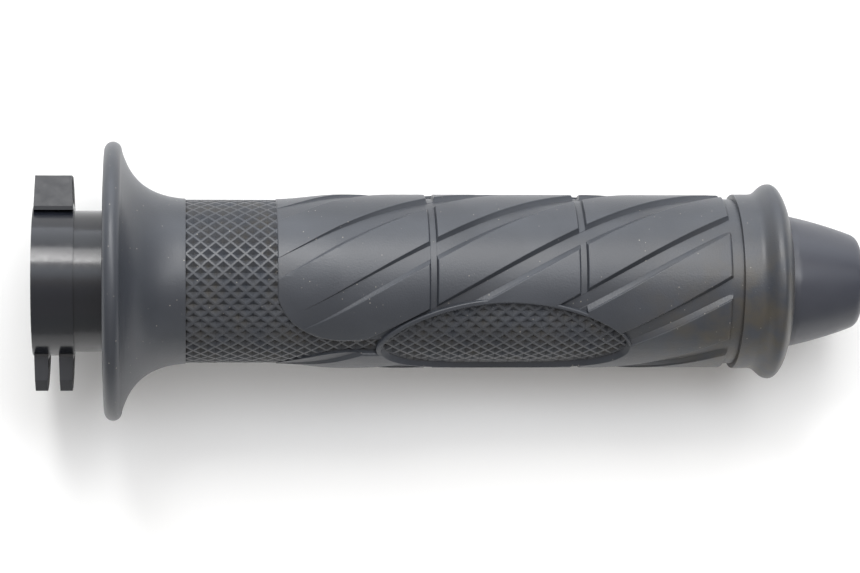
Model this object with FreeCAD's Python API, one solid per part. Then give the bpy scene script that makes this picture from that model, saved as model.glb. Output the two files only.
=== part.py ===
import FreeCAD, Part
import math
import os

os.makedirs("parts", exist_ok=True)

Vector = FreeCAD.Vector

# Frame: +X runs along the handlebar from the cable pulley to the outer end, with the
# origin at the centre of the handlebar bore in the pulley's end face. Angles about the
# axis are counted from +Z towards +Y. All lengths are in millimetres.

# The handlebar that the grip goes on
bar_radius = 11.1
bar_bore_radius = 9.0

# Throttle sleeve
bar_running_gap = 0.1
sleeve_wall = 1.8
hub_step = 0.7
hub_length = 7.6
collar_length = 5.4
inner_land_length = 35.0
outer_land_length = 30.0
relief_depth = 0.3
rib_count = 4
rib_width = 2.4
rib_height = 0.8
rib_end_inset = 12.0

# Cable pulley moulded on the sleeve's hub
pulley_radius = 20.2
pulley_edge_inset = 0.2
pulley_draft = 0.25
cable_slot_width = 1.8
pulley_front_z = 3.0
pulley_tip_chamfer = 2.0
block_top_y = 19.35
block_front_z = 6.0
block_front_lean = 20.0
block_depth = 10.0
nipple_radius = 2.3
nipple_y = 16.5
cable_way_inset = 1.3

# Rubber moulding
rubber_length = 126.4
flange_radius = 25.75
flange_thickness = 3.2
trumpet_length = 11.7
trumpet_end_lift = 0.2
knurl_radius = 15.06
knurl_length = 16.55
tread_radius = 16.1
tread_length = 83.05
tread_rise = 0.87
tread_rise_length = 12.0
ring_groove_width = 2.1
ring_groove_depth = 0.75
end_ring_radius = 16.25
end_flange_radius = 18.2
end_flange_peak_from_tip = 2.9
end_flange_flare = 3.8
end_lip_gap = 0.3
end_lip_length = 3.4

# Tread pattern, which repeats twice around the grip
pattern_repeats = 2
diagonals_per_repeat = 4
diagonal_slope = 0.568
diagonal_phase = 2.72
diagonal_width = 4.2
diagonal_upper_wall = 0.45
diagonal_lower_wall = 0.9
diagonal_depth = 0.9
diagonal_ramp = 28.0
diagonal_ramp_depth = 0.04
diagonal_station_step = 7.0
cross_groove_width = 1.5
cross_groove_depth = 0.84
cross_groove_first = 27.55
cross_groove_second = 54.95

# Knurled oval and the knurled tail that joins it to the knurled band
oval_centre = 41.55
oval_angle = -50.9
oval_length = 47.0
oval_width = 22.2
oval_tilt = 0.8
oval_power = 1.8
oval_points = 32
oval_rim_wide = 0.95
oval_rim_thin = 0.35
oval_wall_slope = 0.55
tail_upper_height = 14.0
tail_upper_neck = 2.05
tail_lower_neck = 1.75
tail_lower_height = 9.3
tail_corner_run = 12.4
tail_length = 20.0
tail_overrun = 0.6
cutter_overshoot = 4.0

# Bar-end plug and its expander
thrust_gap = 1.0
plug_radius = 12.15
plug_spigot_gap = 0.3
plug_spigot_length = 8.0
plug_shoulder_chamfer = 1.1
plug_taper_start = 3.4
plug_nose_length = 16.5
plug_taper_mid_radius = 10.75
plug_nose_radius = 8.9
plug_nose_corner = 1.8
screw_radius = 3.0
screw_hole_gap = 0.25
screw_head_radius = 5.0
screw_head_height = 6.0
screw_head_recess = 1.8
screw_hex_flats = 5.0
screw_hex_depth = 3.0
screw_tail = 3.0
counterbore_gap = 0.5
head_washer_thickness = 1.0
head_washer_inset = 0.2
bush_washer_thickness = 1.5
bush_length = 16.0
bush_radius_gap = 0.35
nut_flange_thickness = 2.5
nut_cone_length = 6.0
nut_cone_radius = 6.4
nut_cone_tip_radius = 4.2
nut_key_width = 2.0
steel_edge_gap = 0.5

# Sizes worked out from the ones above
sleeve_bore_radius = bar_radius + bar_running_gap
sleeve_radius = sleeve_bore_radius + sleeve_wall
hub_radius = sleeve_radius + hub_step
rubber_start = hub_length + collar_length
rubber_end = rubber_start + rubber_length
knurl_start = rubber_start + flange_thickness + trumpet_length
tread_start = knurl_start + knurl_length
tread_end = tread_start + tread_length
lip_radius = plug_radius + end_lip_gap
sleeve_end = rubber_end - end_lip_length
plug_shoulder = sleeve_end + thrust_gap
plug_spigot_radius = bar_bore_radius - plug_spigot_gap
bush_radius = bar_bore_radius - bush_radius_gap
plug_end = plug_shoulder + plug_nose_length
head_seat = plug_end - screw_head_recess - screw_head_height - head_washer_thickness
spigot_end = plug_shoulder - plug_spigot_length
bush_end = spigot_end - bush_washer_thickness
bush_start = bush_end - bush_length
nut_start = bush_start - nut_flange_thickness
screw_end = nut_start - screw_tail
screw_hole_radius = screw_radius + screw_hole_gap
diagonal_pitch = 2 * math.pi * tread_radius / (pattern_repeats * diagonals_per_repeat)


def save(shape, name):
    shape.exportStep("parts/" + name + ".step")


def cylinder(radius, start, end):
    return Part.makeCylinder(radius, end - start, Vector(start, 0, 0), Vector(1, 0, 0))


def cone(start_radius, end_radius, start, end):
    return Part.makeCone(start_radius, end_radius, end - start, Vector(start, 0, 0), Vector(1, 0, 0))


def turned(edges):
    """Solid of revolution about X from a closed run of edges in the XY plane."""
    face = Part.Face(Part.Wire(edges))
    return face.revolve(Vector(0, 0, 0), Vector(1, 0, 0), 360)


def line(start, end):
    return Part.LineSegment(Vector(*start, 0), Vector(*end, 0)).toShape()


def arc(start, middle, end):
    return Part.Arc(Vector(*start, 0), Vector(*middle, 0), Vector(*end, 0)).toShape()


def bezier(*poles):
    curve = Part.BezierCurve()
    curve.setPoles([Vector(*pole, 0) for pole in poles])
    return curve.toShape()


def about_axis(shape, degrees):
    """Copy of a shape turned from +Z towards +Y, the way angles are counted here."""
    copy = shape.copy()
    copy.rotate(Vector(0, 0, 0), Vector(1, 0, 0), -degrees)
    return copy


def sleeve_ribs():
    """Keys on the sleeve that stop the rubber turning on it."""
    start = rubber_start + rib_end_inset
    end = sleeve_end - rib_end_inset
    root = sleeve_radius - sleeve_wall / 2
    height = sleeve_radius + rib_height - root
    rib = Part.makeBox(end - start, rib_width, height, Vector(start, -rib_width / 2, root))
    return [about_axis(rib, 360 * (number + 0.5) / rib_count) for number in range(rib_count)]


def pulley_flange(root_start, root_end):
    """One side plate of the cable pulley, thinner at the rim, all the way round."""
    tip_start = root_start + pulley_draft
    tip_end = root_end - pulley_draft
    root = hub_radius - hub_step
    return turned([
        line((root_start, root), (root_end, root)),
        line((root_end, root), (tip_end, pulley_radius)),
        line((tip_end, pulley_radius), (tip_start, pulley_radius)),
        line((tip_start, pulley_radius), (root_start, root)),
    ])


def pulley_front():
    """Space in front of the pulley, which is open on the side that faces +Z."""
    reach = pulley_radius + cutter_overshoot
    tip = -pulley_radius
    points = [
        Vector(-cutter_overshoot, reach, pulley_front_z),
        Vector(-cutter_overshoot, tip + pulley_tip_chamfer, pulley_front_z),
        Vector(-cutter_overshoot, tip, pulley_front_z - pulley_tip_chamfer),
        Vector(-cutter_overshoot, -reach, pulley_front_z - pulley_tip_chamfer),
        Vector(-cutter_overshoot, -reach, reach),
        Vector(-cutter_overshoot, reach, reach),
    ]
    face = Part.Face(Part.makePolygon(points + points[:1]))
    return face.extrude(Vector(hub_length + 2 * cutter_overshoot, 0, 0))


def pulley_block():
    """Solid block at the pulley's end, which holds the cable's nipple."""
    root = hub_radius - hub_step
    back = block_front_z - block_depth
    points = [
        Vector(pulley_edge_inset, root, back),
        Vector(pulley_edge_inset + pulley_draft, block_top_y, back),
        Vector(hub_length - pulley_edge_inset - pulley_draft, block_top_y, back),
        Vector(hub_length - pulley_edge_inset, root, back),
    ]
    face = Part.Face(Part.makePolygon(points + points[:1]))
    lean = math.tan(math.radians(block_front_lean))
    space = [
        Vector(0, hub_radius, block_front_z),
        Vector(0, pulley_radius, block_front_z - (pulley_radius - hub_radius) * lean),
        Vector(0, pulley_radius, block_front_z + cutter_overshoot),
        Vector(0, hub_radius, block_front_z + cutter_overshoot),
    ]
    space_face = Part.Face(Part.makePolygon(space + space[:1]))
    return face.extrude(Vector(0, 0, block_depth)).cut(space_face.extrude(Vector(hub_length, 0, 0)))


def above_block():
    """Space over the block's top, where the plates' rims are cut off level with it."""
    reach = pulley_radius + cutter_overshoot
    return Part.makeBox(hub_length, reach - block_top_y, 2 * reach, Vector(0, block_top_y, -reach))


def make_throttle_tube():
    slot_start = (hub_length - cable_slot_width) / 2
    slot_end = slot_start + cable_slot_width
    plates = pulley_flange(pulley_edge_inset, slot_start)
    plates = plates.fuse(pulley_flange(slot_end, hub_length - pulley_edge_inset))
    plates = plates.cut([pulley_front(), above_block()])
    nipple_z = block_front_z - block_depth / 2
    nipple_seat = Part.makeCylinder(
        nipple_radius, hub_length, Vector(0, nipple_y, nipple_z), Vector(1, 0, 0)
    )
    cable_way = Part.makeBox(
        cable_slot_width, pulley_radius, block_depth,
        Vector(slot_start, hub_radius, nipple_z - cable_way_inset - block_depth),
    )
    block = pulley_block().cut(cable_way)
    tube = cylinder(hub_radius, 0, hub_length)
    tube = tube.fuse([cylinder(sleeve_radius, 0, sleeve_end), plates, block] + sleeve_ribs())
    tube = tube.cut(nipple_seat)
    bore = cylinder(sleeve_bore_radius, 0, sleeve_end)
    relief_start = inner_land_length
    relief_end = sleeve_end - outer_land_length
    relief = cylinder(sleeve_bore_radius + relief_depth, relief_start, relief_end)
    return tube.cut([bore, relief]).removeSplitter()


def rubber_blank():
    """The rubber moulding before its tread is cut."""
    trumpet_start = rubber_start + flange_thickness
    flange_peak = rubber_start + flange_thickness / 2
    rim_radius = flange_radius - flange_thickness / 2
    band_radius = knurl_radius + trumpet_end_lift
    groove_radius = tread_radius - ring_groove_depth
    end_ring_start = tread_end + ring_groove_width
    flare_end = rubber_end - end_flange_peak_from_tip
    flare_start = flare_end - end_flange_flare
    flare_middle = end_flange_flare / 2.1
    rise_start = tread_radius - tread_rise
    rise_third = tread_rise_length / 3
    nose_drop = end_flange_radius - lip_radius
    return turned([
        line((rubber_start, sleeve_radius), (rubber_start, rim_radius)),
        arc((rubber_start, rim_radius), (flange_peak, flange_radius), (trumpet_start, rim_radius)),
        bezier(
            (trumpet_start, rim_radius),
            (trumpet_start + trumpet_length * 0.1, rim_radius - (rim_radius - band_radius) * 0.45),
            (trumpet_start + trumpet_length * 0.3, band_radius + (rim_radius - band_radius) * 0.06),
            (knurl_start, band_radius),
        ),
        line((knurl_start, band_radius), (knurl_start, knurl_radius)),
        line((knurl_start, knurl_radius), (tread_start, knurl_radius)),
        line((tread_start, knurl_radius), (tread_start, rise_start)),
        bezier(
            (tread_start, rise_start),
            (tread_start + rise_third, rise_start),
            (tread_start + 2 * rise_third, tread_radius),
            (tread_start + tread_rise_length, tread_radius),
        ),
        line((tread_start + tread_rise_length, tread_radius), (tread_end, tread_radius)),
        line((tread_end, tread_radius), (tread_end, groove_radius)),
        line((tread_end, groove_radius), (end_ring_start, groove_radius)),
        line((end_ring_start, groove_radius), (end_ring_start, end_ring_radius)),
        line((end_ring_start, end_ring_radius), (flare_start, end_ring_radius)),
        bezier(
            (flare_start, end_ring_radius),
            (flare_start + flare_middle, end_ring_radius),
            (flare_end - flare_middle, end_flange_radius),
            (flare_end, end_flange_radius),
        ),
        bezier(
            (flare_end, end_flange_radius),
            (flare_end + end_flange_peak_from_tip * 0.6, end_flange_radius),
            (rubber_end, lip_radius + nose_drop * 0.25),
            (rubber_end, lip_radius),
        ),
        line((rubber_end, lip_radius), (sleeve_end, lip_radius)),
        line((sleeve_end, lip_radius), (sleeve_end, sleeve_radius)),
        line((sleeve_end, sleeve_radius), (rubber_start, sleeve_radius)),
    ])


def tread_level(x):
    """Radius of the uncut tread, which rises smoothly out of the knurled band."""
    share = min(max((x - tread_start) / tread_rise_length, 0), 1)
    return tread_radius - tread_rise * (1 - share * share * (3 - 2 * share))


def on_section(x, across, radius):
    """Point at an arc length around the tread and a radius, in the section plane at x."""
    angle = across / tread_radius
    return Vector(x, radius * math.sin(angle), radius * math.cos(angle))


def diagonal_groove(number, start, ramp):
    """One slanted tread groove, which sinks over its ramp: steep upper wall, flat floor, soft lower wall."""
    end = tread_end + ring_groove_width / 2
    stations = max(3, math.ceil((end - start) / diagonal_station_step) + 1)
    above = 0.6
    sections = []
    for station in range(stations):
        x = start + (end - start) * station / (stations - 1)
        share = min((x - start) / ramp, 1)
        depth = diagonal_ramp_depth + (diagonal_depth - diagonal_ramp_depth) * share * (2 - share)
        edge = diagonal_phase + number * diagonal_pitch + diagonal_slope * (x - tread_start - oval_centre)
        upper_run = diagonal_upper_wall * above / diagonal_depth
        lower_run = diagonal_lower_wall * above / diagonal_depth
        upper_floor = edge - diagonal_upper_wall * depth / diagonal_depth
        lower_floor = edge - diagonal_width + diagonal_lower_wall * depth / diagonal_depth
        level = tread_level(x)
        corners = [
            on_section(x, edge + upper_run, level + above),
            on_section(x, upper_floor, level - depth),
            on_section(x, lower_floor, level - depth),
            on_section(x, edge - diagonal_width - lower_run, level + above),
        ]
        sections.append(Part.makePolygon(corners + corners[:1]))
    return Part.makeLoft(sections, True, False)


def cross_groove(along):
    """Groove right round the tread, which only the ovals interrupt."""
    start = tread_start + along
    ring = cylinder(tread_radius + 1, start, start + cross_groove_width)
    return ring.cut(cylinder(tread_radius - cross_groove_depth, start, start + cross_groove_width))


def radial_point(along, across, height):
    """Where the radius through a place on the tread, about the oval's centre, meets a plane facing +Z."""
    return Vector(tread_start + oval_centre + along, height * math.tan(across / tread_radius), height)


def oval_wire(height, spread, slope, shift):
    """Pointed oval on a plane facing +Z. Its wall runs along the radii, or slopes in towards its floor."""
    tilt = math.radians(oval_tilt)
    curve_points = []
    for step in range(oval_points):
        turn = 2 * math.pi * (step + 0.5) / oval_points
        unit = [math.copysign(abs(part) ** (2 / oval_power), part) for part in (math.cos(turn), math.sin(turn))]
        ends = []
        for radius in (knurl_radius, tread_radius):
            reach = spread + (radius - tread_radius) * slope
            along = unit[0] * (oval_length / 2 + reach) + shift
            across = unit[1] * (oval_width / 2 + reach) - shift / 2
            tilted_across = along * math.sin(tilt) + across * math.cos(tilt)
            tilted_along = along * math.cos(tilt) - across * math.sin(tilt)
            ends.append(on_section(tread_start + oval_centre + tilted_along, tilted_across, radius))
        floor, top = ends
        curve_points.append(floor + (top - floor) * ((height - floor.z) / (top.z - floor.z)))
    curve = Part.BSplineCurve()
    curve.interpolate(Points=curve_points, Parameters=list(range(oval_points + 1)), PeriodicFlag=True)
    return Part.Wire(curve.toShape())


def oval_body(spread, slope, shift):
    """Closed body through the oval, with walls that run along the radii."""
    wires = [oval_wire(tread_radius * share, spread, slope, shift) for share in (0.66, 1.08)]
    return Part.makeLoft(wires, True, True)


def tail_wire(height):
    """Outline of the knurled tail between the band and the oval, on a plane facing +Z."""
    band = -oval_centre
    left = band - tail_overrun
    upper = Part.BezierCurve()
    upper.setPoles([
        radial_point(left, tail_upper_height, height),
        radial_point(band + 0.3, tail_upper_neck + (tail_upper_height - tail_upper_neck) * 0.45, height),
        radial_point(band + tail_corner_run * 0.29, tail_upper_neck, height),
        radial_point(band + tail_corner_run, tail_upper_neck, height),
    ])
    lower = Part.BezierCurve()
    lower.setPoles([
        radial_point(band + tail_corner_run, -tail_lower_neck, height),
        radial_point(band + tail_corner_run * 0.7, -tail_lower_neck * 1.2, height),
        radial_point(band + tail_corner_run * 0.4, -tail_lower_height * 0.5, height),
        radial_point(left, -tail_lower_height, height),
    ])
    corners = [
        radial_point(left, tail_upper_height, height),
        radial_point(band + tail_corner_run, tail_upper_neck, height),
        radial_point(band + tail_length, tail_upper_neck, height),
        radial_point(band + tail_length, -tail_lower_neck, height),
        radial_point(band + tail_corner_run, -tail_lower_neck, height),
        radial_point(left, -tail_lower_height, height),
    ]
    return Part.Wire([
        upper.toShape(),
        Part.makeLine(corners[1], corners[2]),
        Part.makeLine(corners[2], corners[3]),
        Part.makeLine(corners[3], corners[4]),
        lower.toShape(),
        Part.makeLine(corners[5], corners[0]),
    ])


def tail_body():
    return Part.makeLoft([tail_wire(tread_radius * share) for share in (0.66, 1.08)], True, True)


def make_grip_rubber():
    rim = about_axis(oval_body(0, 0, 0), oval_angle)
    core = cylinder(knurl_radius, 0, rubber_end)
    rim_mean = (oval_rim_wide + oval_rim_thin) / 2
    rim_shift = (oval_rim_wide - oval_rim_thin) / 2
    recess = about_axis(oval_body(-rim_mean, oval_wall_slope, rim_shift), oval_angle).cut(core)
    tail = about_axis(tail_body(), oval_angle).cut([core, rim])
    rims = [about_axis(rim, 360 * repeat / pattern_repeats) for repeat in range(pattern_repeats)]
    grooves = [
        diagonal_groove(0, tread_start, diagonal_ramp),
        diagonal_groove(1, tread_start + 4.7, diagonal_ramp),
        diagonal_groove(2, tread_start, diagonal_ramp),
        diagonal_groove(3, tread_start, diagonal_ramp),
    ]
    rubber = about_axis(rubber_blank(), -90)
    for repeat in range(pattern_repeats):
        turn = 360 * repeat / pattern_repeats
        for groove in grooves:
            rubber = rubber.cut(about_axis(groove, turn).cut(rims))
        rubber = rubber.cut([about_axis(tail, turn), about_axis(recess, turn)])
    for along in (cross_groove_first, cross_groove_second):
        rubber = rubber.cut(cross_groove(along).cut(rims))
    return rubber.cut(sleeve_ribs())


def make_bar_end_plug():
    taper_start = plug_shoulder + plug_taper_start
    corner_start = plug_end - plug_nose_corner
    corner_inner = plug_nose_radius - plug_nose_corner * 1.5
    taper_middle = (taper_start + corner_start) / 2
    seat_radius = screw_head_radius + counterbore_gap
    seat_edge = plug_radius - plug_shoulder_chamfer
    chamfer_end = plug_shoulder + plug_shoulder_chamfer
    return turned([
        line((spigot_end, screw_hole_radius), (spigot_end, plug_spigot_radius)),
        line((spigot_end, plug_spigot_radius), (plug_shoulder, plug_spigot_radius)),
        line((plug_shoulder, plug_spigot_radius), (plug_shoulder, seat_edge)),
        line((plug_shoulder, seat_edge), (chamfer_end, plug_radius)),
        line((chamfer_end, plug_radius), (taper_start, plug_radius)),
        arc((taper_start, plug_radius), (taper_middle, plug_taper_mid_radius), (corner_start, plug_nose_radius)),
        bezier(
            (corner_start, plug_nose_radius),
            (corner_start + plug_nose_corner * 0.6, plug_nose_radius - plug_nose_corner * 0.22),
            (plug_end, corner_inner + plug_nose_corner * 0.95),
            (plug_end, corner_inner),
        ),
        line((plug_end, corner_inner), (plug_end, seat_radius)),
        line((plug_end, seat_radius), (head_seat, seat_radius)),
        line((head_seat, seat_radius), (head_seat, screw_hole_radius)),
        line((head_seat, screw_hole_radius), (spigot_end, screw_hole_radius)),
    ])


def washer(radius, start, end):
    return cylinder(radius, start, end).cut(cylinder(screw_hole_radius, start, end))


def make_plug_screw():
    head_start = head_seat + head_washer_thickness
    head_end = head_start + screw_head_height
    screw = cylinder(screw_radius, screw_end, head_start)
    screw = screw.fuse(cylinder(screw_head_radius, head_start, head_end)).removeSplitter()
    corner = screw_hex_flats / math.sqrt(3)
    hexagon = [
        Vector(head_end - screw_hex_depth, corner * math.cos(step * math.pi / 3), corner * math.sin(step * math.pi / 3))
        for step in range(6)
    ]
    socket = Part.Face(Part.makePolygon(hexagon + hexagon[:1])).extrude(Vector(screw_hex_depth, 0, 0))
    return screw.cut(socket)


def nut_cone_and_keys():
    """The cone that spreads the bush, with two keys that stop the nut turning."""
    body = cone(nut_cone_radius, nut_cone_tip_radius, bush_start, bush_start + nut_cone_length)
    key = Part.makeBox(
        nut_cone_length / 2, 2 * plug_spigot_radius - 2 * steel_edge_gap, nut_key_width,
        Vector(bush_start, -plug_spigot_radius + steel_edge_gap, -nut_key_width / 2),
    )
    return body.fuse(key)


def make_cone_nut():
    flange = cylinder(bush_radius - steel_edge_gap, nut_start, bush_start)
    nut = flange.fuse(nut_cone_and_keys()).removeSplitter()
    return nut.cut(cylinder(screw_radius, nut_start, bush_start + nut_cone_length))


def make_expander_bush():
    bush = cylinder(bush_radius, bush_start, bush_end)
    bush = bush.cut(cylinder(screw_hole_radius, bush_start, bush_end))
    return bush.cut(nut_cone_and_keys())


save(make_throttle_tube(), "throttle_tube")
save(make_grip_rubber(), "grip_rubber")
save(make_bar_end_plug(), "bar_end_plug")
head_washer_radius = screw_head_radius + head_washer_inset
save(washer(head_washer_radius, head_seat, head_seat + head_washer_thickness), "head_washer")
save(washer(bush_radius - steel_edge_gap, bush_end, spigot_end), "bush_washer")
save(make_plug_screw(), "plug_screw")
save(make_expander_bush(), "expander_bush")
save(make_cone_nut(), "cone_nut")
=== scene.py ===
import math

import bmesh
import bpy
from mathutils import Matrix, Vector


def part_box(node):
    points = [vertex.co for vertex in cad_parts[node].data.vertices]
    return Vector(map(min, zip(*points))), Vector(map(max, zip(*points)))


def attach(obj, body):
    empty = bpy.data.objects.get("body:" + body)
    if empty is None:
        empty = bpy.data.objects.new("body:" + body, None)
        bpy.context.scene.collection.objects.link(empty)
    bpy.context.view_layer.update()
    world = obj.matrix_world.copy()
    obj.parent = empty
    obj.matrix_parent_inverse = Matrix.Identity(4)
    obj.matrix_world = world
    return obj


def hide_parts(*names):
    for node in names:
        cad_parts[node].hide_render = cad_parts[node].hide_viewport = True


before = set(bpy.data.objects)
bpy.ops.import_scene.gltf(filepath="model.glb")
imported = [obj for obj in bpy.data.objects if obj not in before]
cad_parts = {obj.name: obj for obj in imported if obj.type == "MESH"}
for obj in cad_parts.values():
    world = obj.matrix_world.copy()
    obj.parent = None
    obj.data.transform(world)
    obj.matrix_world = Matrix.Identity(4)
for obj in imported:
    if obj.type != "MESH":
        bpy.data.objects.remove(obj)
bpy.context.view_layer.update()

# Lengths in the dictionaries are millimetres and angles are degrees. x runs along the handlebar
# from the cable pulley, and an arc is measured around the tread from the +Z side towards +Y.
mm = 0.001
fullTurn = 2 * math.pi
spinWeld = 0.001  # points nearer than this are one when a profile has been spun
cutTolerance = 0.0001  # points nearer than this to a cutting plane are on it


def report(stage):
    print("scene:", stage, flush=True)


def makeObject(name, bm):
    mesh = bpy.data.meshes.new(name)
    bm.to_mesh(mesh)
    bm.free()
    obj = bpy.data.objects.new(name, mesh)
    bpy.context.scene.collection.objects.link(obj)
    return obj


def combine(target, tool, operation):
    # joins or cuts two closed shapes and keeps the result in target's mesh
    modifier = target.modifiers.new("combine", "BOOLEAN")
    modifier.operation = operation
    modifier.solver = "EXACT"
    modifier.object = tool
    graph = bpy.context.evaluated_depsgraph_get()
    result = bpy.data.meshes.new_from_object(target.evaluated_get(graph))
    target.modifiers.clear()
    target.data = result
    bpy.data.objects.remove(tool)
    return target


def addBox(bm, low, high):
    size = Vector(high) - Vector(low)
    made = bmesh.ops.create_cube(bm, size=1)
    bmesh.ops.scale(bm, vec=size, verts=made["verts"])
    bmesh.ops.translate(bm, vec=Vector(low) + size / 2, verts=made["verts"])


def addLoft(bm, sections):
    # closed body through sections that all have the same number of points
    rings = []
    for section in sections:
        verts = [bm.verts.new(point) for point in section]
        edges = [bm.edges.new((verts[i - 1], verts[i])) for i in range(len(verts))]
        rings.append((verts, edges))
    for (_, edges), (_, nextEdges) in zip(rings, rings[1:]):
        bmesh.ops.bridge_loops(bm, edges=edges + nextEdges)
    bm.faces.new(rings[0][0])
    bm.faces.new(rings[-1][0])
    bmesh.ops.recalc_face_normals(bm, faces=bm.faces)


def bezier(start, pull, push, end, steps):
    # points of a cubic curve, without its first one
    points = []
    for step in range(1, steps + 1):
        t = step / steps
        weights = ((1 - t) ** 3, 3 * t * (1 - t) ** 2, 3 * t * t * (1 - t), t ** 3)
        corners = (start, pull, push, end)
        points.append(tuple(
            sum(weight * corner[axis] for weight, corner in zip(weights, corners))
            for axis in (0, 1)
        ))
    return points


def arcPoints(centre, radius, startAngle, endAngle, steps):
    points = []
    for step in range(steps + 1):
        angle = math.radians(startAngle + (endAngle - startAngle) * step / steps)
        points.append((centre[0] + radius * math.cos(angle), centre[1] + radius * math.sin(angle)))
    return points


def spinProfile(profile, steps):
    # ring or solid from a closed (x, radius) profile turned about X, in metres
    bm = bmesh.new()
    verts = [bm.verts.new((x * mm, 0, radius * mm)) for x, radius in profile]
    edges = [bm.edges.new((verts[i - 1], verts[i])) for i in range(len(verts))]
    bmesh.ops.spin(
        bm, geom=verts + edges, cent=(0, 0, 0), axis=(1, 0, 0),
        angle=fullTurn, steps=steps, use_merge=True,
    )
    bmesh.ops.remove_doubles(bm, verts=bm.verts, dist=spinWeld * mm)
    bmesh.ops.recalc_face_normals(bm, faces=bm.faces)
    return bm


def finishShading(obj, sharpAngle):
    obj.data.shade_smooth()
    obj.data.set_sharp_from_angle(angle=math.radians(sharpAngle))
    weighted = obj.modifiers.new("evenNormals", "WEIGHTED_NORMAL")
    weighted.keep_sharp = True


def linear(hexColour):
    channels = [int(hexColour[i:i + 2], 16) / 255 for i in (1, 3, 5)]
    return tuple(
        c / 12.92 if c <= 0.04045 else ((c + 0.055) / 1.055) ** 2.4 for c in channels
    ) + (1.0,)


def addNode(tree, kind, settings=None, links=None):
    # settings: attribute or input name to value; links: input name to the socket that feeds it
    node = tree.nodes.new(kind)
    for name, value in (settings or {}).items():
        if isinstance(name, str) and hasattr(node, name):
            setattr(node, name, value)
        else:
            node.inputs[name].default_value = value
    for name, socket in (links or {}).items():
        tree.links.new(socket, node.inputs[name])
    return node


def startMaterial(name):
    material = bpy.data.materials.new(name)
    material.use_nodes = True
    tree = material.node_tree
    tree.nodes.clear()
    shader = addNode(tree, "ShaderNodeBsdfPrincipled")
    addNode(tree, "ShaderNodeOutputMaterial", links={"Surface": shader.outputs[0]})
    place = addNode(tree, "ShaderNodeTexCoord").outputs["Object"]
    return material, tree, shader, place


def axisRadius(tree, place):
    # distance from the handlebar's axis
    flattened = addNode(
        tree, "ShaderNodeVectorMath", {"operation": "MULTIPLY", 1: (0, 1, 1)}, {0: place},
    )
    length = addNode(
        tree, "ShaderNodeVectorMath", {"operation": "LENGTH"}, {0: flattened.outputs[0]},
    )
    return length.outputs["Value"]


# The grip's rubber: an inner flange and trumpet, a knurled band, the grooved tread with its knurled
# ovals, and the end ring. The tread is laid out flat first, with x and arc as its two directions.
rubberLow, rubberHigh = (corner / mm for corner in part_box("grip_rubber"))
grip = {
    "start": rubberLow.x, "end": rubberHigh.x, "flangeRadius": rubberHigh.z,
    "boreRadius": 13.0, "flangeThickness": 3.2, "flangeSteps": 14,
    "trumpetLength": 11.7, "trumpetSteps": 22,
    "trumpetLift": 0.2,  # its small end stands this far over the knurl
    "trumpetPull": (0.1, 0.45), "trumpetPush": (0.3, 0.06),  # shares of its length and its drop
    "trumpetEdge": (0.12, 0.08),
    "knurlRadius": 15.06, "knurlLength": 16.55,
    "treadRadius": 16.1, "treadLength": 83.05,
    "ringGrooveWidth": 2.1, "ringGrooveDepth": 0.75,
    "endRingRadius": 16.25, "endFlangeRadius": 18.2,
    "ringEdge": ((0.0, 0.2), (0.07, 0.06), (0.22, 0.0)),  # (along, below the ring) round its edge
    "flareLength": 3.8, "flareEase": 2.1, "flareSteps": 10,
    "peakFromTip": 2.9, "tipPull": 0.6, "tipPush": 0.25, "tipSteps": 16,
    "lipRadius": 12.45, "lipLength": 3.4,
    "spinSteps": 160, "stripWeld": 0.003, "sharpAngle": 38,
}
knurl = {
    "pitchAlong": 2.7, "countAround": 40, "ridge": 0.34, "depth": 0.64, "phase": -0.92,
    "middleCell": 15,  # diamonds from the band's start to the lattice's middle
    "seamShift": 0.25,  # the seam's place in a diamond, clear of its corners
}
tread = {
    "repeats": 2, "diagonals": 4, "slope": 0.568, "phase": 2.72, "depth": 0.9, "width": 4.2,
    "steepWall": 0.45, "softWall": 0.9, "steepFoot": 0.5, "softFoot": 0.4,
    "edgeRound": 0.28, "edgeTurns": (0.52, 1.05),  # radians, a third and two thirds round an edge
    "starts": (-0.4, 4.7, -0.4, -0.4),  # each groove's start, from the tread's
    "rampLength": 28.0,
    "rampDepths": ((0.0, 0.04), (0.4, 0.6), (1.0, 1.0)),  # share of the ramp, share of the depth
    "crossGrooves": (27.55, 54.95), "crossWidth": 1.5, "crossDepth": 0.84,
    "crossWall": 0.12, "crossRound": 0.22,
    "endRound": 0.5, "endSlant": 0.4,
    "rise": 0.87, "riseLength": 12.0, "riseSlices": 8,
}
oval = {
    "centre": 41.55, "angle": -50.9, "length": 47.0, "width": 22.2, "tilt": 0.8, "power": 1.8,
    "steps": 96, "slope": 0.55, "edgeRound": 0.2,
    "rimWide": 0.95, "rimThin": 0.35, "rimDrop": 0.5, "rimRound": 0.3, "rimSlant": 0.1,
    "rimSink": 0.02,  # the rim lies this little under the tread, so that no two faces coincide
}
tail = {
    "top": 14.0, "upper": 2.05, "lower": 1.75, "bottom": 9.3, "corner": 12.4, "reach": 7.6,
    "lead": 0.6, "upperPull": (0.3, 0.45), "upperPush": 0.29, "upperSteps": 12,
    "lowerPull": (0.7, 1.2), "lowerPush": (0.4, 0.5), "lowerSteps": 10,
    "edgeRound": 0.4, "slant": 0.1,
}
treadStart = (
    grip["start"] + grip["flangeThickness"] + grip["trumpetLength"] + grip["knurlLength"]
)
treadEnd = treadStart + grip["treadLength"]
knurlStart = treadStart - grip["knurlLength"]
aroundTread = fullTurn * grip["treadRadius"]
knurlAround = aroundTread / knurl["countAround"]
knurlLevel = grip["knurlRadius"] - grip["treadRadius"]
ovalPlace = (treadStart + oval["centre"], math.radians(oval["angle"]) * grip["treadRadius"])
sideSpare = 5.0  # the laid-out half turn is this much wider each side, until its seams are cut
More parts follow.
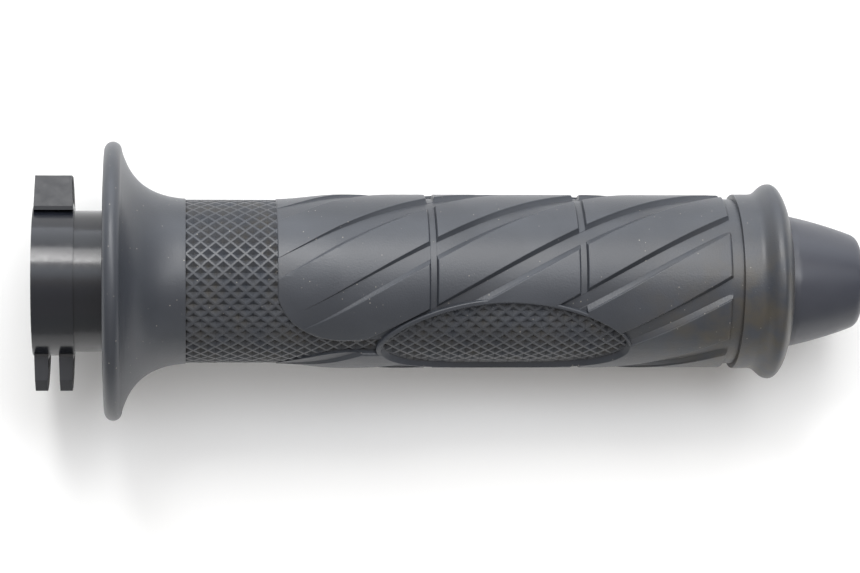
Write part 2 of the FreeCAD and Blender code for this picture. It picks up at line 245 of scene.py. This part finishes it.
flat = {
    "low": ovalPlace[1] - aroundTread / 4 - sideSpare,
    "high": ovalPlace[1] + aroundTread / 4 + sideSpare,
    "above": 1.0, "overrun": 2.0, "margin": 4.0,  # how far the cutters reach past what they cut
    "treadFloor": -2.5, "knurlFloor": -2.3, "coreTop": -2.0, "coreFloor": -2.75,
    "overlap": 0.5,  # how far the core and the groove's bed run into their neighbours
}
bed = {"lead": 4.0, "leadDrop": 0.12, "sag": 0.2, "root": 0.3, "sideGap": 0.4}
region = {
    "floorGap": 0.1, "sideGap": 1.0, "bandLead": 0.3, "bandTail": 0.25,
    "tailSpread": 0.25, "ovalSpread": -0.1,
}


def mouldedRubber():
    # natural rubber from an etched mould: matt dark grey, greyer where hands rub it, with brown
    # dust in the low places and towards the outer ring, and pale specks of grit
    look = {
        "colour": "#35383e", "worn": "#3e4147", "dust": "#46423b", "speck": "#b0aa9e",
        "roughness": 0.38, "cloud": 14.0, "smear": 4.0,
        # the etched grain and the grit are finer than this, and are drawn coarser so that they show
        "grain": 0.3, "grainDepth": 0.05, "speckSpacing": 1.2, "speckRadius": 0.13,
        "speckCore": 0.6,  # share of a speck that is fully pale
        "dustTop": 15.3, "dustBottom": 14.5,  # distances from the axis
        "ringDust": 1.5, "dustFade": 22.0, "ringLead": 2.5,
        "brownFromY": 13.0, "brownFullAtY": -9.0,  # along Y, where the brown towards -Y starts and where it is full
    }
    material, tree, shader, place = startMaterial("mouldedRubber")
    cloud = addNode(
        tree, "ShaderNodeTexNoise",
        {"Scale": 1 / (look["cloud"] * mm), "Detail": 4.0}, {"Vector": place},
    )
    smear = addNode(
        tree, "ShaderNodeTexNoise",
        {"Scale": 1 / (look["smear"] * mm), "Detail": 5.0}, {"Vector": place},
    )
    wear = addNode(
        tree, "ShaderNodeMapRange",
        {"From Min": 0.4, "From Max": 0.7}, {"Value": cloud.outputs["Fac"]},
    )
    tone = addNode(
        tree, "ShaderNodeMix",
        {"data_type": "RGBA", "A": linear(look["colour"]), "B": linear(look["worn"])},
        {"Factor": wear.outputs[0]},
    )
    sunk = addNode(
        tree, "ShaderNodeMapRange",
        {"From Min": look["dustTop"] * mm, "From Max": look["dustBottom"] * mm},
        {"Value": axisRadius(tree, place)},
    )
    patch = addNode(
        tree, "ShaderNodeMapRange",
        {"From Min": 0.35, "From Max": 0.75}, {"Value": smear.outputs["Fac"]},
    )
    settled = addNode(
        tree, "ShaderNodeMath", {"operation": "MULTIPLY"},
        {0: sunk.outputs[0], 1: patch.outputs[0]},
    )
    split = addNode(tree, "ShaderNodeSeparateXYZ", links={"Vector": place})
    outer = addNode(  # towards the outer ring it gets dustier, and browner still towards its -Y side
        tree, "ShaderNodeMapRange",
        {"From Min": (treadEnd - look["dustFade"]) * mm,
         "From Max": (treadEnd + look["ringLead"]) * mm, "To Max": look["ringDust"]},
        {"Value": split.outputs["X"]},
    )
    # the brown grows across the part from +Y towards -Y
    below = addNode(
        tree, "ShaderNodeMapRange",
        {"From Min": look["brownFromY"] * mm, "From Max": look["brownFullAtY"] * mm},
        {"Value": split.outputs["Y"]},
    )
    spread = addNode(
        tree, "ShaderNodeMath", {"operation": "MULTIPLY"},
        {0: below.outputs[0], 1: patch.outputs[0]},
    )
    outerBrown = addNode(
        tree, "ShaderNodeMath", {"operation": "MULTIPLY"},
        {0: outer.outputs[0], 1: spread.outputs[0]},
    )
    dusty = addNode(
        tree, "ShaderNodeMath", {"operation": "MAXIMUM"},
        {0: settled.outputs[0], 1: outerBrown.outputs[0]},
    )
    dirt = addNode(
        tree, "ShaderNodeMix", {"data_type": "RGBA", "B": linear(look["dust"])},
        {"Factor": dusty.outputs[0], "A": tone.outputs["Result"]},
    )
    cells = addNode(
        tree, "ShaderNodeTexVoronoi",
        {"Scale": 1 / (look["speckSpacing"] * mm)}, {"Vector": place},
    )
    speckShare = look["speckRadius"] / look["speckSpacing"]
    near = addNode(
        tree, "ShaderNodeMapRange",
        {"From Min": speckShare, "From Max": look["speckCore"] * speckShare},
        {"Value": cells.outputs["Distance"]},
    )
    lot = addNode(tree, "ShaderNodeSeparateColor", links={"Color": cells.outputs["Color"]})
    chosen = addNode(
        tree, "ShaderNodeMapRange",
        {"From Min": 0.5, "To Max": 0.65}, {"Value": lot.outputs["Red"]},
    )
    dot = addNode(
        tree, "ShaderNodeMath", {"operation": "MULTIPLY"},
        {0: near.outputs[0], 1: chosen.outputs[0]},
    )
    specked = addNode(
        tree, "ShaderNodeMix", {"data_type": "RGBA", "B": linear(look["speck"])},
        {"Factor": dot.outputs[0], "A": dirt.outputs["Result"]},
    )
    tree.links.new(specked.outputs["Result"], shader.inputs["Base Color"])
    shader.inputs["Roughness"].default_value = look["roughness"]
    grain = addNode(
        tree, "ShaderNodeTexNoise",
        {"Scale": 1 / (look["grain"] * mm), "Detail": 3.0}, {"Vector": place},
    )
    bump = addNode(
        tree, "ShaderNodeBump",
        {"Strength": 0.6, "Distance": look["grainDepth"] * mm}, {"Height": grain.outputs["Fac"]},
    )
    tree.links.new(bump.outputs[0], shader.inputs["Normal"])
    return material


def diagonalEdge(number, x):
    # arc of a slanted groove's upper edge at x
    pitch = aroundTread / (tread["repeats"] * tread["diagonals"])
    return tread["phase"] + number * pitch + tread["slope"] * (x - ovalPlace[0])


def repeatArc(repeat):
    return repeat * aroundTread / tread["repeats"]


def roundedWall(floor, rounding, slant):
    # (height, outward shift) up a cut's wall, which ends in a rounded edge
    levels = [(floor, -slant), (-rounding, 0.0)]
    for turn in tread["edgeTurns"]:
        levels.append((-rounding * (1 - math.sin(turn)), rounding * (1 - math.cos(turn))))
    return levels + [(0.0, rounding), (flat["above"], rounding + flat["above"])]


def troughSection(upper, width, steep, soft, depth, rounding):
    # points (across, height) around a groove's section, from its upper side to its lower
    wall = roundedWall(-depth, rounding, 0)[1:]
    points = [(upper + shift, height) for height, shift in reversed(wall)]
    foot = rounding * tread["steepFoot"]
    points += [(upper - steep, -depth + foot), (upper - steep - foot, -depth)]
    lower = upper - width
    points += [
        (lower + soft + foot, -depth), (lower + soft, -depth + rounding * tread["softFoot"]),
    ]
    return points + [(lower - shift, height) for height, shift in wall]


def diagonalCutter(number, repeat, start):
    # straight in the flat layout: it sinks over the ramp and then keeps its depth
    stations = [(start + tread["rampLength"] * run, share) for run, share in tread["rampDepths"]]
    stations.append((treadEnd + flat["overrun"], 1.0))
    sections = []
    for x, share in stations:
        section = troughSection(
            diagonalEdge(number, x) + repeatArc(repeat), tread["width"],
            tread["steepWall"] * share, tread["softWall"] * share,
            tread["depth"] * share, tread["edgeRound"] * share,
        )
        sections.append([(x, across, height) for across, height in section])
    bm = bmesh.new()
    addLoft(bm, sections)
    return makeObject("diagonalCutter", bm)


def acrossTread(name, section, low, high):
    # an (x, height) section carried across the laid-out tread
    bm = bmesh.new()
    addLoft(bm, [[(x, end, height) for x, height in section] for end in (low, high)])
    return makeObject(name, bm)


def crossCutter(along):
    section = troughSection(
        treadStart + along + tread["crossWidth"], tread["crossWidth"],
        tread["crossWall"], tread["crossWall"], tread["crossDepth"], tread["crossRound"],
    )
    low, high = flat["low"] - flat["overrun"], flat["high"] + flat["overrun"]
    return acrossTread("crossCutter", section, low, high)


def ovalOutline(spread):
    # an oval whose ends are a little more pointed than an ellipse's
    turn = Matrix.Rotation(math.radians(oval["tilt"]), 2)
    radii = (oval["length"] / 2 + spread, oval["width"] / 2 + spread)
    points = []
    for unit in arcPoints((0, 0), 1, 0, 360, oval["steps"])[:-1]:
        place = [
            math.copysign(abs(part) ** (2 / oval["power"]), part) * radius
            for part, radius in zip(unit, radii)
        ]
        points.append(tuple(turn @ Vector(place)))
    return points


def ovalInside(spread):
    # the sunken part: its rim is wide at the end near the band and thin at the far one
    wide, thin = oval["rimWide"], oval["rimThin"]
    shift = (wide - thin) / 2
    outline = ovalOutline(spread - (wide + thin) / 2)
    return [(x + shift, y - shift * oval["rimDrop"]) for x, y in outline]


def tailOutline(spread):
    # the knurled tongue between the band and the oval, about the oval's centre
    band, corner = -oval["centre"], tail["corner"]
    top, high = tail["top"] + spread, tail["upper"] + spread
    low, bottom = -tail["lower"] - spread, -tail["bottom"] - spread
    pullAlong, pullAcross = tail["upperPull"]
    upper = [(band - flat["margin"], top), (band - tail["lead"], top)]
    upper += bezier(
        upper[-1], (band + pullAlong, high + (top - high) * pullAcross),
        (band + corner * tail["upperPush"], high), (band + corner, high), tail["upperSteps"],
    )
    reach = band + corner + tail["reach"]
    pullAlong, pullAcross = tail["lowerPull"]
    pushAlong, pushAcross = tail["lowerPush"]
    lower = [(reach, high), (reach, low), (band + corner, low)]
    lower += bezier(
        lower[-1], (band + corner * pullAlong, low * pullAcross),
        (band + corner * pushAlong, bottom * pushAcross), (band - tail["lead"], bottom),
        tail["lowerSteps"],
    )
    return upper + lower + [(band - flat["margin"], bottom - flat["overrun"])]


def lofted(name, outline, levels):
    # closed body whose outline shifts with height, about the oval's centre
    bm = bmesh.new()
    addLoft(bm, [[(x, y, height) for x, y in outline(shift)] for height, shift in levels])
    bmesh.ops.translate(bm, vec=(ovalPlace[0], ovalPlace[1], 0), verts=bm.verts)
    return makeObject(name, bm)


def sinkStart(slab):
    # the tread grows out of the knurled band instead of standing over it
    bm = bmesh.new()
    bm.from_mesh(slab.data)
    for number in range(1, tread["riseSlices"] + 1):
        x = treadStart + tread["riseLength"] * number / tread["riseSlices"]
        bmesh.ops.bisect_plane(
            bm, geom=bm.verts[:] + bm.edges[:] + bm.faces[:], dist=cutTolerance,
            plane_co=(x, 0, 0), plane_no=(1, 0, 0),
        )
    for vert in bm.verts:
        share = min(max((vert.co.x - treadStart) / tread["riseLength"], 0), 1)
        vert.co.z -= tread["rise"] * (1 - share * share * (3 - 2 * share))
    bm.to_mesh(slab.data)
    bm.free()


def grooveBed():
    # the floor of the ring groove, which the slanted grooves run out onto
    level, root = -grip["ringGrooveDepth"], flat["coreTop"] - bed["root"]
    start, end = treadEnd - bed["lead"], treadEnd + grip["ringGrooveWidth"] + flat["overlap"]
    section = [
        (start, -tread["depth"] - bed["leadDrop"]), (treadEnd + bed["sag"], level),
        (end, level), (end, root), (start, root),
    ]
    low, high = flat["low"] + bed["sideGap"], flat["high"] - bed["sideGap"]
    return acrossTread("grooveBed", section, low, high)


def flatTread():
    # half a turn of the tread laid out flat: a slab with its grooves and recesses cut in
    floor, deep = flat["treadFloor"], flat["treadFloor"] - flat["above"]
    startWall = roundedWall(floor, tread["edgeRound"], 0)[:-1]
    endWall = roundedWall(floor, tread["endRound"], tread["endRound"] * tread["endSlant"])[:-1]
    section = [(treadStart + shift, height) for height, shift in startWall]
    section += [(treadEnd - shift, height) for height, shift in reversed(endWall)]
    slab = acrossTread("flatTread", section, flat["low"], flat["high"])
    for along in tread["crossGrooves"]:
        combine(slab, crossCutter(along), "DIFFERENCE")
    for repeat in (-2, -1, 0, 1):
        for number, along in enumerate(tread["starts"]):
            combine(slab, diagonalCutter(number, repeat, treadStart + along), "DIFFERENCE")
    tailWall = roundedWall(deep, tail["edgeRound"], tail["slant"])
    combine(slab, lofted("tail", tailOutline, tailWall), "DIFFERENCE")
    rimWall = roundedWall(floor + oval["rimSink"], oval["rimRound"], oval["rimSlant"])[:-1]
    rimLevels = [(height - oval["rimSink"], -shift) for height, shift in rimWall]
    combine(slab, lofted("ovalRim", ovalOutline, rimLevels), "UNION")
    ovalWall = roundedWall(deep, oval["edgeRound"], -oval["slope"] * deep)
    combine(slab, lofted("ovalCut", ovalInside, ovalWall), "DIFFERENCE")
    sinkStart(slab)
    return slab


def flatKnurl():
    # diamond lattice of ridges with a pit in each diamond
    length = ovalPlace[0] + oval["length"] / 2 + flat["margin"] - knurlStart
    width = flat["high"] - flat["low"]
    spare = flat["overrun"]
    count = 2 * int(length / knurl["pitchAlong"] / 2 + width / knurlAround / 2 + spare)
    bm = bmesh.new()
    bmesh.ops.create_grid(bm, x_segments=count, y_segments=count, size=count / 2)
    eighthTurn = Matrix.Rotation(fullTurn / 8, 3, "Z")
    bmesh.ops.rotate(bm, cent=(0, 0, 0), matrix=eighthTurn, verts=bm.verts)
    half = math.sqrt(0.5)
    scale = (knurl["pitchAlong"] * half, knurlAround * half, 1)
    bmesh.ops.scale(bm, vec=scale, verts=bm.verts)
    middle = Vector((knurlStart + knurl["pitchAlong"] * knurl["middleCell"], 0, knurlLevel))
    rows = ((flat["low"] + flat["high"]) / 2 - knurl["phase"]) / knurlAround
    middle.y = knurl["phase"] + round(rows - 0.5) * knurlAround + knurlAround / 2
    bmesh.ops.translate(bm, vec=middle, verts=bm.verts)
    outside = []
    for face in bm.faces:
        offset = face.calc_center_median() - middle
        if abs(offset.x) > length / 2 + spare or abs(offset.y) > width / 2:
            outside.append(face)
    bmesh.ops.delete(bm, geom=outside, context="FACES")
    pits = bm.faces[:]
    bmesh.ops.inset_individual(
        bm, faces=pits, thickness=knurl["ridge"] / 2, depth=0, use_even_offset=True,
    )
    made = bmesh.ops.poke(bm, faces=pits, offset=0, center_mode="MEAN")
    bmesh.ops.translate(bm, vec=(0, 0, -knurl["depth"]), verts=made["verts"])
    rim = [edge for edge in bm.edges if edge.is_boundary]
    made = bmesh.ops.extrude_edge_only(bm, edges=rim)
    for item in made["geom"]:
        if isinstance(item, bmesh.types.BMVert):
            item.co.z = flat["knurlFloor"]
    rim = [edge for edge in bm.edges if edge.is_boundary]
    bmesh.ops.contextual_create(bm, geom=rim)
    bmesh.ops.recalc_face_normals(bm, faces=bm.faces)
    return makeObject("flatKnurl", bm)


def knurlRegion():
    # where the knurl shows: the band, the tail and the oval
    bottom, top = flat["knurlFloor"] + region["floorGap"], flat["above"]
    bm = bmesh.new()
    addBox(
        bm, (knurlStart - region["bandLead"], flat["low"] + region["sideGap"], bottom),
        (treadStart + region["bandTail"], flat["high"] - region["sideGap"], top),
    )
    shown = makeObject("knurlRegion", bm)
    for outline, spread in ((tailOutline, "tailSpread"), (ovalOutline, "ovalSpread")):
        levels = ((bottom, region[spread]), (top, region[spread]))
        combine(shown, lofted("shown", outline, levels), "UNION")
    return shown


def gripTread():
    # the flat half turn is sliced into narrow strips, wrapped round and repeated on the other side
    overlap = flat["overlap"]
    bm = bmesh.new()
    addBox(
        bm, (knurlStart - overlap, flat["low"] + overlap, flat["coreFloor"]),
        (treadEnd + grip["ringGrooveWidth"] + overlap, flat["high"] - overlap, flat["coreTop"]),
    )
    body = makeObject("gripRubber", bm)
    combine(body, combine(flatKnurl(), knurlRegion(), "INTERSECT"), "UNION")
    combine(body, flatTread(), "UNION")
    combine(body, grooveBed(), "UNION")
    report("tread laid out")
    bm = bmesh.new()
    bm.from_mesh(body.data)
    strips = knurl["countAround"]
    rows = ((flat["low"] + flat["high"] - aroundTread / 2) / 2 - knurl["phase"]) / knurlAround
    seam = knurl["phase"] + (math.floor(rows) + knurl["seamShift"]) * knurlAround
    for strip in range(strips + 1):
        bmesh.ops.bisect_plane(
            bm, geom=bm.verts[:] + bm.edges[:] + bm.faces[:], dist=cutTolerance,
            plane_co=(0, seam + aroundTread / 2 * strip / strips, 0), plane_no=(0, 1, 0),
            clear_inner=strip == 0, clear_outer=strip == strips,
        )
    for vert in bm.verts:
        angle = vert.co.y / grip["treadRadius"]
        radius = grip["treadRadius"] + vert.co.z
        vert.co = Vector((vert.co.x, radius * math.sin(angle), radius * math.cos(angle))) * mm
    made = bmesh.ops.duplicate(bm, geom=bm.verts[:] + bm.edges[:] + bm.faces[:])
    copied = [item for item in made["geom"] if isinstance(item, bmesh.types.BMVert)]
    halfTurn = Matrix.Rotation(fullTurn / 2, 3, "X")
    bmesh.ops.rotate(bm, cent=(0, 0, 0), matrix=halfTurn, verts=copied)
    bmesh.ops.remove_doubles(bm, verts=bm.verts, dist=grip["stripWeld"] * mm)
    bm.to_mesh(body.data)
    bm.free()
    return body


def innerFlange():
    rimThickness = grip["flangeThickness"] / 2
    rimRadius = grip["flangeRadius"] - rimThickness
    trumpetStart, length = grip["start"] + grip["flangeThickness"], grip["trumpetLength"]
    bandRadius = grip["knurlRadius"] + grip["trumpetLift"]
    drop = rimRadius - bandRadius
    pullAlong, pullDown = grip["trumpetPull"]
    pushAlong, pushUp = grip["trumpetPush"]
    edgeAlong, edgeDown = grip["trumpetEdge"]
    profile = [(grip["start"], grip["boreRadius"])]
    profile += arcPoints(
        (grip["start"] + rimThickness, rimRadius), rimThickness, 180, 0, grip["flangeSteps"],
    )
    profile += bezier(
        (trumpetStart, rimRadius),
        (trumpetStart + length * pullAlong, rimRadius - drop * pullDown),
        (trumpetStart + length * pushAlong, bandRadius + drop * pushUp),
        (knurlStart - edgeAlong, bandRadius), grip["trumpetSteps"],
    )
    profile += [(knurlStart, bandRadius - edgeDown), (knurlStart, grip["boreRadius"])]
    return makeObject("innerFlange", spinProfile(profile, grip["spinSteps"]))


def endRing():
    ringStart = treadEnd + grip["ringGrooveWidth"]
    tip = grip["end"]
    flareEnd = tip - grip["peakFromTip"]
    flareStart = flareEnd - grip["flareLength"]
    ease = grip["flareLength"] / grip["flareEase"]
    ring, flange, lip = grip["endRingRadius"], grip["endFlangeRadius"], grip["lipRadius"]
    profile = [(ringStart, grip["boreRadius"])]
    profile += [(ringStart + along, ring - below) for along, below in grip["ringEdge"]]
    profile.append((flareStart, ring))
    profile += bezier(
        (flareStart, ring), (flareStart + ease, ring),
        (flareEnd - ease, flange), (flareEnd, flange), grip["flareSteps"],
    )
    profile += bezier(
        (flareEnd, flange), (flareEnd + grip["peakFromTip"] * grip["tipPull"], flange),
        (tip, lip + (flange - lip) * grip["tipPush"]), (tip, lip), grip["tipSteps"],
    )
    profile += [(tip - grip["lipLength"], lip), (tip - grip["lipLength"], grip["boreRadius"])]
    return makeObject("endRing", spinProfile(profile, grip["spinSteps"]))


def gripRubber(material):
    body = gripTread()
    combine(body, innerFlange(), "UNION")
    combine(body, endRing(), "UNION")
    body.data.materials.clear()
    body.data.materials.append(material)
    finishShading(body, grip["sharpAngle"])
    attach(body, "twist_grip")
    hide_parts("grip_rubber")
    report(f"grip rubber, {len(body.data.polygons)} faces")


# The sleeve, the plug and what holds the plug: their solids already have the right shape, and the
# two that show get rounded edges.
soften = {
    "sleeveEdge": 0.25, "plugEdge": 0.2, "segments": 3, "sharpAngle": 40,
    "weld": 0.002, "flatAngle": 0.5,
}


def polishedNylon():
    # moulded nylon, polished where its housing rubs: near black with a clear band of gloss and
    # fine scuffs, satin beyond
    look = {
        "colour": "#191b21", "smoothest": 0.13, "roughest": 0.24, "scuff": 1.2,
        "satin": 0.3, "rubbedRadius": 14.2, "rubbedEdge": 0.1,  # satin is added past this radius
    }
    material, tree, shader, place = startMaterial("polishedNylon")
    shader.inputs["Base Color"].default_value = linear(look["colour"])
    scuff = addNode(
        tree, "ShaderNodeTexNoise",
        {"Scale": 1 / (look["scuff"] * mm), "Detail": 6.0}, {"Vector": place},
    )
    rough = addNode(
        tree, "ShaderNodeMapRange",
        {"From Min": 0.3, "From Max": 0.75,
         "To Min": look["smoothest"], "To Max": look["roughest"]},
        {"Value": scuff.outputs["Fac"]},
    )
    beyond = addNode(
        tree, "ShaderNodeMapRange",
        {"From Min": look["rubbedRadius"] * mm,
         "From Max": (look["rubbedRadius"] + look["rubbedEdge"]) * mm, "To Max": look["satin"]},
        {"Value": axisRadius(tree, place)},
    )
    finish = addNode(
        tree, "ShaderNodeMath", {"operation": "ADD"}, {0: rough.outputs[0], 1: beyond.outputs[0]},
    )
    tree.links.new(finish.outputs[0], shader.inputs["Roughness"])
    return material


def satinNylon():
    # moulded nylon with a satin mould finish: even dark grey with a broad soft highlight
    look = {"colour": "#393b43", "smoothest": 0.28, "roughest": 0.43, "cloud": 5.0}
    material, tree, shader, place = startMaterial("satinNylon")
    shader.inputs["Base Color"].default_value = linear(look["colour"])
    cloud = addNode(
        tree, "ShaderNodeTexNoise",
        {"Scale": 1 / (look["cloud"] * mm), "Detail": 5.0}, {"Vector": place},
    )
    rough = addNode(
        tree, "ShaderNodeMapRange",
        {"From Min": 0.3, "From Max": 0.7,
         "To Min": look["smoothest"], "To Max": look["roughest"]},
        {"Value": cloud.outputs["Fac"]},
    )
    tree.links.new(rough.outputs[0], shader.inputs["Roughness"])
    return material


def zincPlate():
    # bright zinc on steel: pale metal, a little cloudy
    look = {"colour": "#b9bab6", "smoothest": 0.25, "roughest": 0.5, "cloud": 2.0}
    material, tree, shader, place = startMaterial("zincPlate")
    shader.inputs["Base Color"].default_value = linear(look["colour"])
    shader.inputs["Metallic"].default_value = 1.0
    cloud = addNode(
        tree, "ShaderNodeTexNoise",
        {"Scale": 1 / (look["cloud"] * mm), "Detail": 4.0}, {"Vector": place},
    )
    rough = addNode(
        tree, "ShaderNodeMapRange",
        {"To Min": look["smoothest"], "To Max": look["roughest"]},
        {"Value": cloud.outputs["Fac"]},
    )
    tree.links.new(rough.outputs[0], shader.inputs["Roughness"])
    return material


def bushRubber():
    # extruded rubber: plain matt black, its grain drawn coarser than it is so that it shows
    look = {"colour": "#232323", "roughness": 0.75, "grain": 0.3, "grainDepth": 0.05}
    material, tree, shader, place = startMaterial("bushRubber")
    shader.inputs["Base Color"].default_value = linear(look["colour"])
    shader.inputs["Roughness"].default_value = look["roughness"]
    grain = addNode(
        tree, "ShaderNodeTexNoise", {"Scale": 1 / (look["grain"] * mm)}, {"Vector": place},
    )
    bump = addNode(
        tree, "ShaderNodeBump",
        {"Strength": 0.3, "Distance": look["grainDepth"] * mm}, {"Height": grain.outputs["Fac"]},
    )
    tree.links.new(bump.outputs[0], shader.inputs["Normal"])
    return material


def softenedCopy(node, name, material, body, edgeRound):
    # the solid's own shape with its edges rounded a little
    bm = bmesh.new()
    bm.from_mesh(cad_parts[node].data)
    bmesh.ops.remove_doubles(bm, verts=bm.verts, dist=soften["weld"] * mm)
    bmesh.ops.dissolve_limit(
        bm, angle_limit=math.radians(soften["flatAngle"]), use_dissolve_boundaries=False,
        verts=bm.verts, edges=bm.edges,
    )
    piece = makeObject(name, bm)
    piece.data.materials.append(material)
    bevel = piece.modifiers.new("edgeRound", "BEVEL")
    bevel.width = edgeRound * mm
    bevel.segments = soften["segments"]
    bevel.limit_method = "ANGLE"
    bevel.angle_limit = math.radians(soften["sharpAngle"])
    bevel.harden_normals = False
    finishShading(piece, soften["sharpAngle"])
    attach(piece, body)
    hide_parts(node)


def dressNode(node, material):
    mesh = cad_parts[node].data
    mesh.materials.clear()
    mesh.materials.append(material)


stage = {
    "floorSize": 3000.0, "floorColour": "#f9f9f8", "floorRoughness": 0.9,
    "cameraPlace": (26.8, -0.99, 590.0), "cameraTilt": 4.497, "lens": 133.27, "farClip": 10000.0,
    "lampTarget": (75, 0, 0),
    "lamps": (  # name, place, size and power of each soft lamp
        ("key", (90, 602, 669), (520, 360), 2.64),
        ("hubSheen", (-110, 566, 699), (170, 330), 1.82),
        ("fill", (330, 233, 869), (560, 200), 1.63),
    ),
    "tentStrength": 4.42,
    # the tent dims towards the handlebar's ends, from one share of straight sideways to another
    "tentDimFrom": 0.3, "tentDimTo": 0.85, "tentDimShare": 0.35,
    # its light by the angle over the part, from the -Y side through +Z, where the camera is, to +Y
    "tent": (
        (-90, "#676766"), (-66, "#5f605f"), (-48, "#615f5e"), (-30, "#5d5b59"), (-12, "#656363"),
        (0, "#7d7a77"), (10, "#a8aaae"), (20, "#bfc3c8"), (32, "#b8b4b0"), (45, "#656361"),
        (57, "#aaacad"), (70, "#bec1c4"), (90, "#d9dce2"), (115, "#f5f8ff"),
    ),
}


def makeFloor():
    bm = bmesh.new()
    bmesh.ops.create_grid(bm, x_segments=1, y_segments=1, size=stage["floorSize"] / 2 * mm)
    nearX = grip["start"] + grip["flangeThickness"] / 2
    farX = grip["end"] - grip["peakFromTip"]
    touch = Vector((nearX, 0, -grip["flangeRadius"]))
    slope = Vector((farX, 0, -grip["endFlangeRadius"])) - touch
    tilt = -math.atan2(slope.z, slope.x)  # the grip lies on its two flanges
    level = Matrix.Rotation(tilt, 3, "Y")
    bmesh.ops.rotate(bm, cent=(0, 0, 0), matrix=level, verts=bm.verts)
    bmesh.ops.translate(bm, vec=touch * mm, verts=bm.verts)
    floor = makeObject("floor", bm)
    material, _, shader, _ = startMaterial("whitePaper")
    shader.inputs["Base Color"].default_value = linear(stage["floorColour"])
    shader.inputs["Roughness"].default_value = stage["floorRoughness"]
    floor.data.materials.append(material)


def makeLamp(name, place, size, power):
    light = bpy.data.lights.new(name, "AREA")
    light.shape = "RECTANGLE"
    light.size, light.size_y = (side * mm for side in size)
    light.energy = power
    lamp = bpy.data.objects.new(name, light)
    lamp.location = Vector(place) * mm
    direction = (Vector(stage["lampTarget"]) - Vector(place)).normalized()
    lamp.rotation_euler = direction.to_track_quat("-Z", "Y").to_euler()
    bpy.context.scene.collection.objects.link(lamp)


def makeTent():
    # a light tent: soft bands of light around the handlebar's axis, dimmer towards its two ends
    world = bpy.data.worlds.new("lightTent")
    world.use_nodes = True
    tree = world.node_tree
    tree.nodes.clear()
    towards = addNode(tree, "ShaderNodeTexCoord").outputs["Generated"]
    split = addNode(tree, "ShaderNodeSeparateXYZ", links={"Vector": towards})
    around = addNode(
        tree, "ShaderNodeMath", {"operation": "ARCTAN2"},
        {0: split.outputs["Y"], 1: split.outputs["Z"]},
    )
    share = addNode(
        tree, "ShaderNodeMapRange",
        {"From Min": -math.pi, "From Max": math.pi}, {"Value": around.outputs[0]},
    )
    ramp = addNode(tree, "ShaderNodeValToRGB", links={"Fac": share.outputs[0]})
    stops = ramp.color_ramp.elements
    for number, (angle, colour) in enumerate(stage["tent"]):
        stop = stops[number] if number < 2 else stops.new(1)
        stop.position = angle / 360 + 0.5
        stop.color = linear(colour)
    aside = addNode(
        tree, "ShaderNodeMath", {"operation": "ABSOLUTE"}, {0: split.outputs["X"]},
    )
    power = addNode(
        tree, "ShaderNodeMapRange",
        {"From Min": stage["tentDimFrom"], "From Max": stage["tentDimTo"],
         "To Min": stage["tentStrength"], "To Max": stage["tentStrength"] * stage["tentDimShare"]},
        {"Value": aside.outputs[0]},
    )
    sky = addNode(
        tree, "ShaderNodeBackground",
        links={"Color": ramp.outputs["Color"], "Strength": power.outputs[0]},
    )
    addNode(tree, "ShaderNodeOutputWorld", links={"Surface": sky.outputs[0]})
    bpy.context.scene.world = world


def makeCamera():
    # it looks down at the part, turned a little about Y towards the plug
    camera = bpy.data.cameras.new("camera")
    camera.lens = stage["lens"]
    camera.clip_end = stage["farClip"] * mm
    tilt = math.radians(stage["cameraTilt"])
    turn = Matrix((
        (math.cos(tilt), 0, -math.sin(tilt)),
        (0, 1, 0),
        (math.sin(tilt), 0, math.cos(tilt)),
    ))
    eye = bpy.data.objects.new("camera", camera)
    eye.matrix_world = Matrix.Translation(Vector(stage["cameraPlace"]) * mm) @ turn.to_4x4()
    bpy.context.scene.collection.objects.link(eye)
    bpy.context.scene.camera = eye


makeFloor()
for lamp in stage["lamps"]:
    makeLamp(*lamp)
makeTent()
makeCamera()
bpy.context.scene.view_settings.view_transform = "Standard"
report("stage")
gripRubber(mouldedRubber())
softenedCopy(
    "throttle_tube", "throttleSleeve", polishedNylon(), "twist_grip",
    soften["sleeveEdge"],
)
softenedCopy(
    "bar_end_plug", "endPlug", satinNylon(), "bar_end", soften["plugEdge"],
)
report("sleeve and plug")
zinc = zincPlate()
for node in ("plug_screw", "head_washer", "bush_washer", "cone_nut"):
    dressNode(node, zinc)
dressNode("expander_bush", bushRubber())
report("fastenings")
